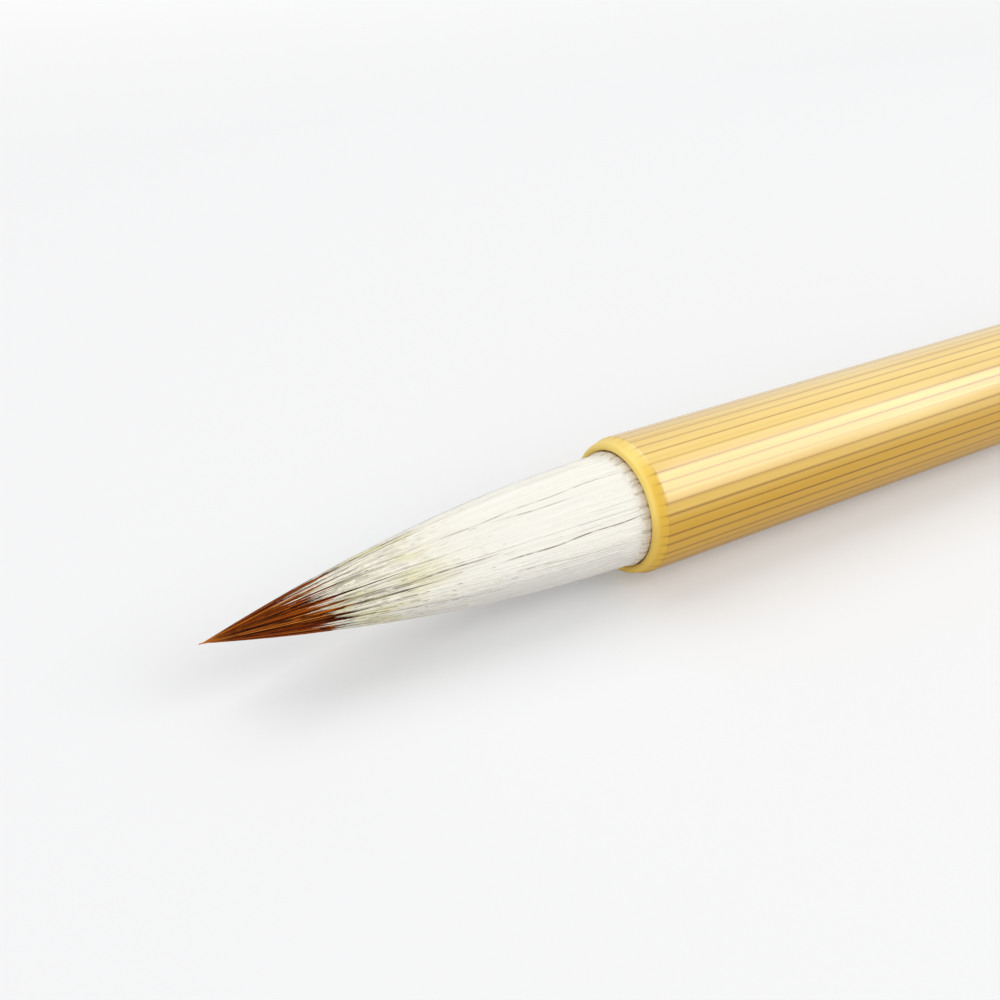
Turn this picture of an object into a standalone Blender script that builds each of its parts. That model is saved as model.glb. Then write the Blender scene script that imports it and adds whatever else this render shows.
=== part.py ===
"""A calligraphy brush: a bamboo handle with a bored mouth, a layered hair tuft bound and glued
into it, and a turned plug in the tail.

Metres, +Z up. The brush lies along X with its point towards -X and its tail towards +X. The
bottom of the handle is at z = 0, and the origin is under the middle of the whole brush.

Every piece is drawn on the brush's own axis, where height 0 is the plane of the mouth, heights
above 0 run back through the handle, and heights below 0 run out to the point of the tuft.
"""

import math
import random

import bmesh
import bpy
from mathutils import Euler, Matrix

# ---- Driving dimensions ----------------------------------------------------------------------

# Handle: one internode of culm, straight, with its natural hollow.
HANDLE_LENGTH = 0.200
HANDLE_RADIUS = 0.0060
CULM_TAPER = 0.00015  # the culm's radius shrinks by this from the mouth to the tail
LUMEN_RADIUS = 0.0019
TAIL_ROUND = 0.0007

# Mouth: the socket for the tuft, and the pared band and rounded lip in front of the bare culm.
SOCKET_WALL = 0.0010
BAND_LENGTH = 0.0012
BAND_DROP = 0.0003  # the band brings the radius down by this
DRILL_POINT = math.radians(59)  # half angle of the socket's conical bottom

# Tuft, dressed to a point. Its radius follows 1 - t ** BELLY from the mouth to the point.
HAIR_OUT = 0.0355
HAIR_ROOT = 0.0105  # length of the root inside the socket
BELLY = 1.9
ROOT_STRAIGHT = 0.0008  # the bundle keeps its full width this far behind the mouth
ROOT_WAIST = 0.0050  # and is drawn in to its bound width by here

# Layers of the tuft, from the outside in, and how far out each reaches as a share of HAIR_OUT.
COVER_WALL = 0.0007
COVER_REACH = 0.80
LINING_WALL = 0.0006
LINING_REACH = 0.56
LINING_END = 0.62  # the core has filled the lining's place by here
EDGE_WALL = 0.00016  # what is left of a layer's wall where its hairs run out

# Feathered hem of the cover: V-shaped notches of uneven depth between its locks.
LOCKS = 15
NOTCH_DEEPEST = 0.0065
NOTCH_SHALLOWEST = 0.0022
NOTCH_WIDEST = 0.88  # widths at the hem, as shares of a lock's pitch
NOTCH_NARROWEST = 0.72
NOTCH_DRIFT = 0.12  # how far a notch strays from even spacing, as a share of that pitch
NOTCH_OVERRUN = 0.0006  # each wedge starts this far in front of the hem
NOTCH_ROOM = 0.6  # each wedge reaches this share inside the hem, and as far outside the cover
NOTCH_SEED = 7

# Binding, rosin and adhesive at the root.
THREAD_DIAMETER = 0.0004
THREAD_SPACING = 0.00006  # between one turn and the next
THREAD_TURNS = 6
ROSIN_THICKNESS = 0.0008
GLUE_WALL = 0.0004
GLUE_BASE = 0.0008

# Tail plug: a shank in the tail's counterbore, a collar, a cove and a button with a cord hole.
SHANK_BORE_RADIUS = 0.0030
SHANK_BORE_DEPTH = 0.0095
COLLAR_STEP = 0.0003  # the collar is this much smaller than the culm's tail
COLLAR_THICKNESS = 0.0014
NECK_RADIUS = 0.0023
NECK_LENGTH = 0.0012
BUTTON_RADIUS = 0.0039
BUTTON_LENGTH = 0.0046
BUTTON_SHOULDER = 0.0016  # height of the button's widest line above its underside
BUTTON_FACE_RADIUS = 0.0025
CORD_HOLE_RADIUS = 0.0008
CORD_HOLE_DEPTH = 0.0050
EASED_EDGE = 0.0003

# Clearances between neighbouring pieces.
FIT_GAP = 0.0003
LAYER_GAP = 0.0002

# Facets: an even number of sides, turned so that a flat lies underneath.
SIDES = 32
HAIR_STATIONS = 12
ROOT_STATIONS = 5
THREAD_POINTS_PER_TURN = 20
SMOOTH_BELOW = math.radians(38)

# ---- Sizes that follow -----------------------------------------------------------------------

tail_radius = HANDLE_RADIUS - CULM_TAPER
socket_radius = HANDLE_RADIUS - SOCKET_WALL
lip_round = (SOCKET_WALL - BAND_DROP) / 2
glue_radius = socket_radius - LAYER_GAP
glue_bore_radius = glue_radius - GLUE_WALL
thread_radius = glue_bore_radius - LAYER_GAP - THREAD_DIAMETER / 2
bound_radius = thread_radius - THREAD_DIAMETER / 2 - LAYER_GAP
hair_radius = socket_radius - LAYER_GAP
thread_pitch = THREAD_DIAMETER + THREAD_SPACING
# The winding lies in the middle of the bound root.
thread_start = (ROOT_WAIST + HAIR_ROOT + thread_pitch * THREAD_TURNS) / 2
rosin_height = HAIR_ROOT + LAYER_GAP
glue_base_height = rosin_height + ROSIN_THICKNESS + LAYER_GAP
socket_depth = glue_base_height + GLUE_BASE + LAYER_GAP
plug_length = FIT_GAP + COLLAR_THICKNESS + NECK_LENGTH + BUTTON_LENGTH
overall_length = HAIR_OUT + HANDLE_LENGTH + plug_length
facet_height = HANDLE_RADIUS * math.cos(math.pi / SIDES)


# ---- Tools -----------------------------------------------------------------------------------


def clear_scene():
    for item in list(bpy.data.objects):
        bpy.data.objects.remove(item, do_unlink=True)


def make_collection(name):
    made = bpy.data.collections.new(name)
    bpy.context.scene.collection.children.link(made)
    return made


def make_material(name, colour, roughness):
    made = bpy.data.materials.new(name)
    made.use_nodes = True
    shader = made.node_tree.nodes["Principled BSDF"]
    shader.inputs["Base Color"].default_value = (*colour, 1)
    shader.inputs["Roughness"].default_value = roughness
    shader.inputs["Metallic"].default_value = 0.0
    made.diffuse_color = (*colour, 1)
    return made


def arc(centre, radii, start, end, steps):
    """Points (radius, height) along an elliptic arc. Angles in degrees, 0 straight outwards."""
    points = []
    for step in range(steps + 1):
        angle = math.radians(start + (end - start) * step / steps)
        points.append((centre[0] + radii[0] * math.cos(angle), centre[1] + radii[1] * math.sin(angle)))
    return points


def place(item, material, height):
    """Hang a piece on the brush's axis, with a flat of its facets underneath."""
    parts.objects.link(item)
    item.data.materials.clear()
    item.data.materials.append(material)
    item.parent = axis
    item.location = (0, 0, height)
    item.rotation_euler = (0, 0, math.pi / SIDES)


def turned(name, profile, material, height=0.0, ring=False):
    """A turned piece from its profile of (radius, height), drawn down its outer side.

    An open profile starts and ends on the axis. A ring's profile closes on itself.
    """
    count = len(profile)
    edges = [(index, index + 1) for index in range(count - 1)]
    if ring:
        edges.append((count - 1, 0))
    outline = bpy.data.meshes.new(name + "_outline")
    outline.from_pydata([(radius, 0, level) for radius, level in profile], edges, [])
    item = bpy.data.objects.new(name, outline)
    bpy.context.scene.collection.objects.link(item)
    screw = item.modifiers.new("turn", "SCREW")
    screw.steps = SIDES
    screw.render_steps = SIDES
    screw.use_merge_vertices = True
    screw.merge_threshold = 1e-6
    bpy.context.view_layer.update()
    solid = bpy.data.meshes.new_from_object(item.evaluated_get(bpy.context.evaluated_depsgraph_get()))
    item.modifiers.clear()
    item.data = solid
    solid.name = name
    bpy.data.meshes.remove(outline)
    solid.shade_smooth()
    solid.set_sharp_from_angle(angle=SMOOTH_BELOW)
    bpy.context.scene.collection.objects.unlink(item)
    place(item, material, height)
    return item


# ---- Handle ----------------------------------------------------------------------------------


def build_handle():
    """The culm: bare outside, pared to a rounded lip at the mouth, bored for tuft and plug."""
    profile = arc((tail_radius - TAIL_ROUND, HANDLE_LENGTH - TAIL_ROUND), (TAIL_ROUND, TAIL_ROUND), 90, 0, 4)
    profile.append((HANDLE_RADIUS, BAND_LENGTH))
    profile += arc((socket_radius + lip_round, lip_round), (lip_round, lip_round), 0, -180, 8)
    profile.append((socket_radius, socket_depth))
    profile.append((LUMEN_RADIUS, socket_depth + (socket_radius - LUMEN_RADIUS) / math.tan(DRILL_POINT)))
    profile.append((LUMEN_RADIUS, HANDLE_LENGTH - SHANK_BORE_DEPTH))
    profile.append((SHANK_BORE_RADIUS, HANDLE_LENGTH - SHANK_BORE_DEPTH))
    profile.append((SHANK_BORE_RADIUS, HANDLE_LENGTH - EASED_EDGE))
    profile.append((SHANK_BORE_RADIUS + EASED_EDGE, HANDLE_LENGTH))
    bamboo = make_material("bamboo", (0.78, 0.55, 0.20), 0.32)
    return turned("handle", profile, bamboo, ring=True)


# ---- Tail plug -------------------------------------------------------------------------------


def build_tail_plug():
    """One turning: button, cove, collar and shank, with a blind hole down the button's middle."""
    collar_radius = tail_radius - COLLAR_STEP
    collar_round = COLLAR_THICKNESS / 2
    collar_base = FIT_GAP
    neck_base = collar_base + COLLAR_THICKNESS
    button_base = neck_base + NECK_LENGTH
    button_end = button_base + BUTTON_LENGTH
    cove = NECK_LENGTH / 2
    cove_rim = NECK_RADIUS + cove
    shank_radius = SHANK_BORE_RADIUS - FIT_GAP
    shank_end = FIT_GAP - SHANK_BORE_DEPTH
    button_line = button_base + BUTTON_SHOULDER

    profile = [(0, button_end - CORD_HOLE_DEPTH)]
    profile.append((CORD_HOLE_RADIUS, button_end - CORD_HOLE_DEPTH))
    profile.append((CORD_HOLE_RADIUS, button_end - EASED_EDGE))
    profile.append((CORD_HOLE_RADIUS + EASED_EDGE, button_end))
    dome = (BUTTON_RADIUS - BUTTON_FACE_RADIUS, BUTTON_LENGTH - BUTTON_SHOULDER)
    profile += arc((BUTTON_FACE_RADIUS, button_line), dome, 90, 0, 6)
    profile += arc((cove_rim, button_line), (BUTTON_RADIUS - cove_rim, BUTTON_SHOULDER), 0, -90, 5)[1:]
    profile += arc((cove_rim, neck_base + cove), (cove, cove), 90, 270, 6)[1:]
    rim = (collar_radius - collar_round, neck_base - collar_round)
    profile += arc(rim, (collar_round, collar_round), 90, -90, 6)
    profile.append((shank_radius, collar_base))
    profile.append((shank_radius, shank_end + EASED_EDGE))
    profile.append((shank_radius - EASED_EDGE, shank_end))
    profile.append((0, shank_end))
    hardwood = make_material("stained_hardwood", (0.17, 0.055, 0.02), 0.30)
    return turned("tail_plug", profile, hardwood, height=HANDLE_LENGTH)


# ---- Tuft ------------------------------------------------------------------------------------


def bundle_radius(height):
    """Outside of the whole tuft: drawn in at the bound root, full at the mouth, then to a point."""
    if height <= 0:
        return hair_radius * (1 - (-height / HAIR_OUT) ** BELLY)
    drawn = (height - ROOT_STRAIGHT) / (ROOT_WAIST - ROOT_STRAIGHT)
    drawn = min(max(drawn, 0), 1)
    ease = drawn * drawn * (3 - 2 * drawn)
    return hair_radius + (bound_radius - hair_radius) * ease


def layer_depth(height, wall, reach, end):
    """Wall and gap of a layer here. In front of its edge the layer below fills their place."""
    out = max(-height, 0) / HAIR_OUT
    if out <= reach:
        return wall + (EDGE_WALL - wall) * out / reach + LAYER_GAP
    return (EDGE_WALL + LAYER_GAP) * max(end - out, 0) / (end - reach)


def cover_depth(height):
    return layer_depth(height, COVER_WALL, COVER_REACH, 1.0)


def lining_depth(height):
    return layer_depth(height, LINING_WALL, LINING_REACH, LINING_END)


def heights(reach):
    """Heights from the end of the root out to a share of the tuft's length, at every layer's edge too."""
    root = [HAIR_ROOT, ROOT_WAIST]
    for step in range(1, ROOT_STATIONS):
        root.append(ROOT_WAIST + (ROOT_STRAIGHT - ROOT_WAIST) * step / ROOT_STATIONS)
    root += [ROOT_STRAIGHT, 0]
    shares = [step / HAIR_STATIONS for step in range(1, HAIR_STATIONS)]
    for edge in (LINING_REACH, LINING_END, COVER_REACH):
        shares = [share for share in shares if abs(share - edge) > 0.4 / HAIR_STATIONS]
        shares.append(edge)
    front = [share for share in sorted(shares) if share < reach]
    return root + [-HAIR_OUT * share for share in front + [reach]]


def hair_shell(name, reach, outer, inner, material):
    """A tube of laid hair between two radius functions of height."""
    levels = heights(reach)
    outside = [(outer(level), level) for level in levels]
    inside = [(inner(level), level) for level in reversed(levels)]
    return turned(name, outside + inside, material, ring=True)


def build_hem_notches():
    """Three-sided wedges set round the cover's hem, each with its point towards the root."""
    chance = random.Random(NOTCH_SEED)
    hem = -HAIR_OUT * COVER_REACH
    rim_radius = bundle_radius(hem)
    outward = Euler((math.pi / 2, 0, math.pi / 2)).to_matrix().to_4x4()
    shape = bmesh.new()
    for lock in range(LOCKS):
        depth = NOTCH_SHALLOWEST + (NOTCH_DEEPEST - NOTCH_SHALLOWEST) * chance.random()
        share = NOTCH_NARROWEST + (NOTCH_WIDEST - NOTCH_NARROWEST) * chance.random()
        direction = 2 * math.pi * (lock + NOTCH_DRIFT * chance.random()) / LOCKS
        half_width = rim_radius * math.tan(share * math.pi / LOCKS)
        inner = rim_radius * NOTCH_ROOM
        outer = bundle_radius(hem + depth) / NOTCH_ROOM
        # A three-sided cone of radius 1 is sqrt(3) wide and 1.5 high, with its point on +Y.
        size = (half_width * 2 / math.sqrt(3), (depth + NOTCH_OVERRUN) / 1.5, outer - inner, 1)
        middle = ((outer + inner) / 2, 0, hem - NOTCH_OVERRUN + size[1] / 2)
        set_round = Matrix.Rotation(direction, 4, "Z") @ Matrix.Translation(middle)
        stretch = Matrix.Diagonal(size)
        bmesh.ops.create_cone(
            shape,
            cap_ends=True,
            segments=3,
            radius1=1,
            radius2=1,
            depth=1,
            matrix=set_round @ outward @ stretch,
        )
    wedges = bpy.data.meshes.new("hem_notches")
    shape.to_mesh(wedges)
    shape.free()
    item = bpy.data.objects.new("hem_notches", wedges)
    cutters.objects.link(item)
    item.parent = axis
    item.hide_render = True
    item.display_type = "WIRE"
    return item


def build_cover_hair():
    """The white mantle, whose hem is feathered into locks."""
    white_hair = make_material("white_hair", (0.90, 0.87, 0.78), 0.55)
    cover = hair_shell(
        "cover_hair",
        COVER_REACH,
        bundle_radius,
        lambda level: bundle_radius(level) - cover_depth(level) + LAYER_GAP,
        white_hair,
    )
    feather = cover.modifiers.new("feather", "BOOLEAN")
    feather.operation = "DIFFERENCE"
    feather.solver = "EXACT"
    feather.object = build_hem_notches()
    return cover


def build_lining_hair():
    """Shorter, stiffer hair between the cover and the core, which gives the belly its body."""
    lining_hair = make_material("lining_hair", (0.62, 0.50, 0.32), 0.60)
    return hair_shell(
        "lining_hair",
        LINING_REACH,
        lambda level: bundle_radius(level) - cover_depth(level),
        lambda level: bundle_radius(level) - cover_depth(level) - lining_depth(level) + LAYER_GAP,
        lining_hair,
    )


def build_core_hair():
    """The long brown hair in the middle, which alone reaches the point."""
    brown_hair = make_material("brown_hair", (0.26, 0.09, 0.03), 0.50)
    levels = heights(1.0)[:-1]
    profile = [(0, HAIR_ROOT)]
    profile += [(bundle_radius(level) - cover_depth(level) - lining_depth(level), level) for level in levels]
    profile.append((0, -HAIR_OUT))
    return turned("core_hair", profile, brown_hair)


# ---- Root: binding, rosin and adhesive -------------------------------------------------------


def build_root_thread():
    """Hemp thread wound round the root, as one helix."""
    path = bpy.data.curves.new("root_thread", "CURVE")
    path.dimensions = "3D"
    path.bevel_depth = THREAD_DIAMETER / 2
    path.bevel_resolution = 2
    path.use_fill_caps = True
    spline = path.splines.new("POLY")
    count = THREAD_TURNS * THREAD_POINTS_PER_TURN
    spline.points.add(count)
    for index, point in enumerate(spline.points):
        turn = index / THREAD_POINTS_PER_TURN
        angle = 2 * math.pi * turn
        level = -thread_pitch * turn
        point.co = (thread_radius * math.cos(angle), thread_radius * math.sin(angle), level, 1)
    item = bpy.data.objects.new("root_thread", path)
    hemp = make_material("hemp_thread", (0.55, 0.42, 0.24), 0.85)
    place(item, hemp, thread_start)
    return item


def build_root_rosin():
    """The disc of rosin that seals the cut ends of the hair, with a slightly domed back."""
    dome = ROSIN_THICKNESS / 4
    profile = [(0, ROSIN_THICKNESS)]
    profile += arc((0, ROSIN_THICKNESS - dome), (bound_radius, dome), 90, 0, 5)[1:]
    profile.append((bound_radius, 0))
    profile.append((0, 0))
    rosin = make_material("rosin", (0.30, 0.11, 0.02), 0.25)
    return turned("root_rosin", profile, rosin, height=rosin_height)


def build_socket_glue():
    """The bed of set adhesive round the bound root and behind it, open towards the tuft."""
    base_top = glue_base_height + GLUE_BASE
    profile = [(0, base_top), (glue_radius, base_top)]
    profile += [(glue_radius, ROOT_WAIST), (glue_bore_radius, ROOT_WAIST)]
    profile += [(glue_bore_radius, glue_base_height), (0, glue_base_height)]
    glue = make_material("set_glue", (0.42, 0.24, 0.07), 0.35)
    return turned("socket_glue", profile, glue)


# ---- Assembly --------------------------------------------------------------------------------

clear_scene()
parts = make_collection("calligraphy_brush")
cutters = make_collection("cutters")

axis = bpy.data.objects.new("brush_axis", None)
parts.objects.link(axis)
axis.location = (HAIR_OUT - overall_length / 2, 0, facet_height)
axis.rotation_euler = (0, math.pi / 2, 0)

build_handle()
build_tail_plug()
build_cover_hair()
build_lining_hair()
build_core_hair()
build_root_thread()
build_root_rosin()
build_socket_glue()
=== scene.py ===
"""A calligraphy brush: a bamboo handle, a layered tuft glued into its mouth, and a turned plug in its tail.

Metres, +Z up. The brush lies along X with its point towards -X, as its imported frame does. The sections follow
the making: the hair from the inside out, its binding, rosin and adhesive, then the handle and the plug.
"""

import math

import bpy
import numpy as np
from mathutils import Matrix, Vector


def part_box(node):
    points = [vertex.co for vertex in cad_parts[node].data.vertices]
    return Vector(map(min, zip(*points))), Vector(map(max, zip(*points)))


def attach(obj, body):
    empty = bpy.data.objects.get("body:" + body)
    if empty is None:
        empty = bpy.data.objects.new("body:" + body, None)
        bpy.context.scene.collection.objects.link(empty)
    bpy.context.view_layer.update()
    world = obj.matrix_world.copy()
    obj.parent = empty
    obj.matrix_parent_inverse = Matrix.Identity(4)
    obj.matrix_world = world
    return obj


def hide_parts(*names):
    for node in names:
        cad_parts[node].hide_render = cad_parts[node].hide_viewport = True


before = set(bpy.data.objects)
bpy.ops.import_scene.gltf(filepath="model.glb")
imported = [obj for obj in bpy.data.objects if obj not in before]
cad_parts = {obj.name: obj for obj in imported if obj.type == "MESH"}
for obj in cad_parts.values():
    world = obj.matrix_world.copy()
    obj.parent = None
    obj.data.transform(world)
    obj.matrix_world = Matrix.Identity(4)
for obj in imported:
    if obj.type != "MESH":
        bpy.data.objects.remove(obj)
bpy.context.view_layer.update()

# ---- Place of the brush ------------------------------------------------------------------------
# The frame gives the axis of the brush, the plane of its mouth, its point and its tail.

handle_low, handle_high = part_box("handle")
mouth_x = handle_low.x
tail_x = handle_high.x
point_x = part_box("core_hair")[0].x
root_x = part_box("core_hair")[1].x
axis_z = (handle_low.z + handle_high.z) / 2
culm_radius = (handle_high.z - handle_low.z) / 2

# ---- Camera ------------------------------------------------------------------------------------
# Close over the tuft, looking along the handle and down on it. The lens, place and turn are fitted to the
# edges of the handle, the rings of its mouth and the outline of the tuft.

LENS = 38.88
CAMERA_FROM_MOUTH = Vector((-0.04817, -0.05922, 0.04997))
CAMERA_RIGHT = Vector((0.85762, -0.51356, 0.0275))
CAMERA_UP = Vector((0.26117, 0.48096, 0.83694))

eye = bpy.data.objects.new("camera", bpy.data.cameras.new("camera"))
eye.data.lens = LENS
eye.data.sensor_width = 36
eye.data.clip_start = 0.002
turn = Matrix((CAMERA_RIGHT, CAMERA_UP, CAMERA_RIGHT.cross(CAMERA_UP))).transposed()
eye.matrix_world = Matrix.Translation(Vector((mouth_x, 0, axis_z)) + CAMERA_FROM_MOUTH) @ turn.to_4x4()
bpy.context.scene.collection.objects.link(eye)
bpy.context.scene.camera = eye

# ---- Floor and light ---------------------------------------------------------------------------
# A plain white floor under the brush, which fades into white away from it. One softbox stands over the right
# side, one overhead and a weaker one in front of the point, and pale light comes from all round.


class Wire:
    """A node's output. Arithmetic on it adds the nodes that do it, in a material or a geometry tree."""

    def __init__(self, socket):
        self.socket = socket

    def node(self, kind, settings=None, sockets=None, output=0):
        """Add any node: its settings first, then the values or links of its sockets."""
        tree = self.socket.id_data
        made = tree.nodes.new(kind)
        for name, value in (settings or {}).items():
            if name == "stops":
                ramp = made.color_ramp
                while len(ramp.elements) < len(value):
                    ramp.elements.new(0.5)
                for element, (place, colour) in zip(ramp.elements, value):
                    element.position = place
                    element.color = (*colour, 1)
            else:
                setattr(made, name, value)
        for key, value in (sockets or {}).items():
            if isinstance(value, Wire):
                tree.links.new(value.socket, made.inputs[key])
            else:
                made.inputs[key].default_value = value
        return Wire(made.outputs[output])

    def math(self, operation, *others):
        """A Math node with this wire first."""
        return self.node("ShaderNodeMath", {"operation": operation}, dict(enumerate((self, *others))))

    def __add__(self, other):
        return self.math("ADD", other)

    def __radd__(self, other):
        return self.math("ADD", other)

    def __sub__(self, other):
        return self.math("SUBTRACT", other)

    def __rsub__(self, other):
        return self.node("ShaderNodeMath", {"operation": "SUBTRACT"}, {0: other, 1: self})

    def __mul__(self, other):
        return self.math("MULTIPLY", other)

    def __rmul__(self, other):
        return self.math("MULTIPLY", other)

    def __truediv__(self, other):
        return self.math("DIVIDE", other)

    def rise(self, start, end):
        """0 before start, 1 after end, and a smooth step between them."""
        limits = {"Value": self, "From Min": start, "From Max": end}
        return self.node("ShaderNodeMapRange", {"interpolation_type": "SMOOTHSTEP"}, limits)

    def blend(self, first, second):
        """The first colour where this wire is 0 and the second where it is 1."""
        colours = {0: self, 6: first, 7: second}
        return self.node("ShaderNodeMix", {"data_type": "RGBA"}, colours, output=2)


def finish(name, **constants):
    """A material with a Principled shader: gives it, the shader and a wire of object coordinates."""
    made = bpy.data.materials.new(name)
    made.use_nodes = True
    shader = made.node_tree.nodes["Principled BSDF"]
    for socket, value in constants.items():
        shader.inputs[socket.replace("_", " ")].default_value = value
    place = Wire(made.node_tree.nodes.new("ShaderNodeTexCoord").outputs["Object"])
    return made, shader, place


def drive(shader, socket, wire):
    """Let a wire set one of a shader's sockets."""
    wire.socket.id_data.links.new(wire.socket, shader.inputs[socket])


def coordinate(place, axis):
    """One coordinate of a place: 0 gives X, 1 gives Y and 2 gives Z."""
    return place.node("ShaderNodeSeparateXYZ", None, {"Vector": place}, output=axis)


def seen_directly(wire, *others):
    """1 for the camera, through glass and for other kinds of ray named, and 0 for the light on the brush."""
    ray = wire.node("ShaderNodeLightPath").socket.node
    seen = Wire(ray.outputs["Is Camera Ray"])
    for kind in ("Is Transmission Ray", *others):
        seen = seen.math("MAXIMUM", Wire(ray.outputs[kind]))
    return seen


FLOOR_SIZE = 6.0
FLOOR_COLOUR = (0.81, 0.815, 0.825, 1)
FLOOR_BOUNCE = (0.72, 0.705, 0.70, 1)
FLOOR_GLOW = 0.2
FADE_START = 0.03  # distance from the brush where the fade into white begins
FADE_END = 0.45
WHITE = (1, 1, 1, 1)
AROUND = 0.42  # strength of the pale light from all round
SOFTBOXES = (  # name, place from the mouth, size and power
    ("side_softbox", (0.62, -0.46, 0.62), 0.66, 4.6),
    ("top_softbox", (-0.10, 0.42, 0.90), 0.80, 4.6),
    ("front_fill", (-0.62, -0.66, 0.30), 0.70, 3.2),
)

floor = bpy.data.objects.new("floor", bpy.data.meshes.new("floor"))
half = FLOOR_SIZE / 2
corners = [(-half, -half, 0), (half, -half, 0), (half, half, 0), (-half, half, 0)]
floor.data.from_pydata(corners, [], [(0, 1, 2, 3)])
bpy.context.scene.collection.objects.link(floor)
paper, paper_shader, spot = finish("white_floor", Roughness=0.9, Specular_IOR_Level=0.0)
drive(paper_shader, "Base Color", seen_directly(spot).blend(FLOOR_BOUNCE, FLOOR_COLOUR))
glow = spot.node("ShaderNodeEmission", None, {"Color": WHITE, "Strength": 1.0})
past_ends = (coordinate(spot, 0).math("ABSOLUTE") - tail_x).math("MAXIMUM", 0.0)
beside = coordinate(spot, 1)
away = (past_ends * past_ends + beside * beside).math("SQRT").rise(FADE_START, FADE_END)
lit = {0: seen_directly(spot) * away.math("MAXIMUM", FLOOR_GLOW), 1: Wire(paper_shader.outputs[0]), 2: glow}
lit = spot.node("ShaderNodeMixShader", None, lit)
paper.node_tree.links.new(lit.socket, paper.node_tree.nodes["Material Output"].inputs["Surface"])
floor.data.materials.append(paper)

room = bpy.data.worlds.new("studio")
room.use_nodes = True
bpy.context.scene.world = room
sky = seen_directly(Wire(room.node_tree.nodes["Background"].outputs[0]), "Is Glossy Ray")
drive(room.node_tree.nodes["Background"], "Strength", sky * (1 - AROUND) + AROUND)
room.node_tree.nodes["Background"].inputs["Color"].default_value = WHITE

for name, place, size, power in SOFTBOXES:
    softbox = bpy.data.objects.new(name, bpy.data.lights.new(name, "AREA"))
    softbox.data.size = size
    softbox.data.energy = power
    softbox.location = Vector((mouth_x, 0, axis_z)) + Vector(place)
    softbox.rotation_euler = Vector(place).to_track_quat("Z", "Y").to_euler()
    bpy.context.scene.collection.objects.link(softbox)
bpy.context.scene.view_settings.view_transform = "Standard"

# ---- Core hair ---------------------------------------------------------------------------------
# Long brown hair in the middle of the tuft, combed straight and dressed to a point with thin glue.
# It is a solid bundle with single hairs laid over it, and it alone reaches the point.

TUFT_RADIUS = 0.0048  # at the mouth
BOUND_RADIUS = 0.0036  # where the thread holds it
BELLY = 1.9  # power of the outline's curve from the mouth to the point
ROOT_STRAIGHT = 0.0008  # depth in the socket where the hair starts to draw in
ROOT_WAIST = 0.0050  # depth where it is as thin as the thread makes it
COVER_WALL = 0.0007
MOUTH_SWELL = 0.00029
SWELL_REACH = 0.05  # share of the tuft's length over which it swells out to the lip
LOCK_WAVES = ((5, 0.065), (11, 0.030))  # waves in the width of the locks round the tuft, and their size
SHORT_SIDE_WIDTH = 0.75  # half the angle over which the hem is shorter
HAIR_THICKNESS = 0.00009
HAIR_POINTS = 13
HAIR_SIDES = 3
HAIR_CENTRE = 0.00003  # how close to the axis a hair may come
HAIR_TAPER = 0.85  # how much thinner a hair is at its end
TAPER_POWER = 5.0
SEED_STEP = 31
LOCK_WANDER = 0.35  # how far a hair strays into the next lock, as a share of a lock
LOCK_SAY = 0.55  # how much of a hair's reach its lock decides
COVER_FADE = 0.25  # share of the tuft's length over which the cover thins out
CORE_SEED = 11
CORE_HAIRS = 2500
CORE_COLUMNS = 480
CORE_FIT = 0.985  # the bundle is this much slimmer than the outline, to lie under its hairs
CORE_INSET = 0.00008
CORE_TIP_RADIUS = 0.00004
GROOVED_FROM = 0.002  # radius below which the grooves fade
TIP_ZONE = (0.93, 1.0)  # shares of the tuft's length between which the brown turns pale
FINE_ZONE = (0.50, 0.72)  # and between which the fine partings of painted shade come in
PARTING_WIDTH = 0.00009
POINT_PARTINGS = (  # as parting_shade() takes them: long partings of painted shade
    (0.66, 0.90, -0.52, -0.14, 1.0),
    (0.72, 0.97, -0.66, 0.10, 0.8),
    (0.76, 0.96, -1.26, 0.40, 1.0),
    (0.70, 0.93, -1.55, 0.10, 0.7),
    (0.70, 0.92, -0.10, -0.10, 0.6),
    (0.68, 0.94, 0.55, 0.12, 0.9),
    (0.72, 0.95, 1.30, -0.15, 0.8),
    (0.66, 0.90, 2.05, 0.10, 1.0),
    (0.74, 0.96, 2.75, -0.10, 0.8),
    (0.70, 0.92, -2.50, 0.10, 0.9),
)
BROWN_STOPS = (
    (0.0, (0.012, 0.0015, 0.001)),
    (0.26, (0.060, 0.006, 0.001)),
    (0.50, (0.235, 0.034, 0.001)),
    (0.78, (0.46, 0.105, 0.005)),
    (1.0, (0.80, 0.33, 0.055)),
)
TIP_BROWN = (0.72, 0.24, 0.03, 1)
BROWN_SHADE = (0.010, 0.002, 0.001, 1)

tuft_length = mouth_x - point_x
root_length = root_x - mouth_x


def mouth_fill(out):
    """How far the hair swells out to meet the lip, close to the mouth."""
    return MOUTH_SWELL * np.clip(1 - np.abs(out) / SWELL_REACH, 0, 1) ** 2


def tuft_outline(out):
    """Radius of the whole tuft. out is 0 at the mouth, 1 at the point, and less than 0 inside the handle."""
    depth = np.maximum(-out, 0) * tuft_length
    drawn = np.clip((depth - ROOT_STRAIGHT) / (ROOT_WAIST - ROOT_STRAIGHT), 0, 1)
    root = TUFT_RADIUS + (BOUND_RADIUS - TUFT_RADIUS) * drawn * drawn * (3 - 2 * drawn)
    return np.where(out > 0, TUFT_RADIUS * (1 - np.clip(out, 0, 1) ** BELLY), root) + mouth_fill(out)


def smooth(value, start, end):
    """The smooth step that Wire.rise makes, on numbers."""
    share = np.clip((value - start) / (end - start), 0, 1)
    return share * share * (3 - 2 * share)


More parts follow.
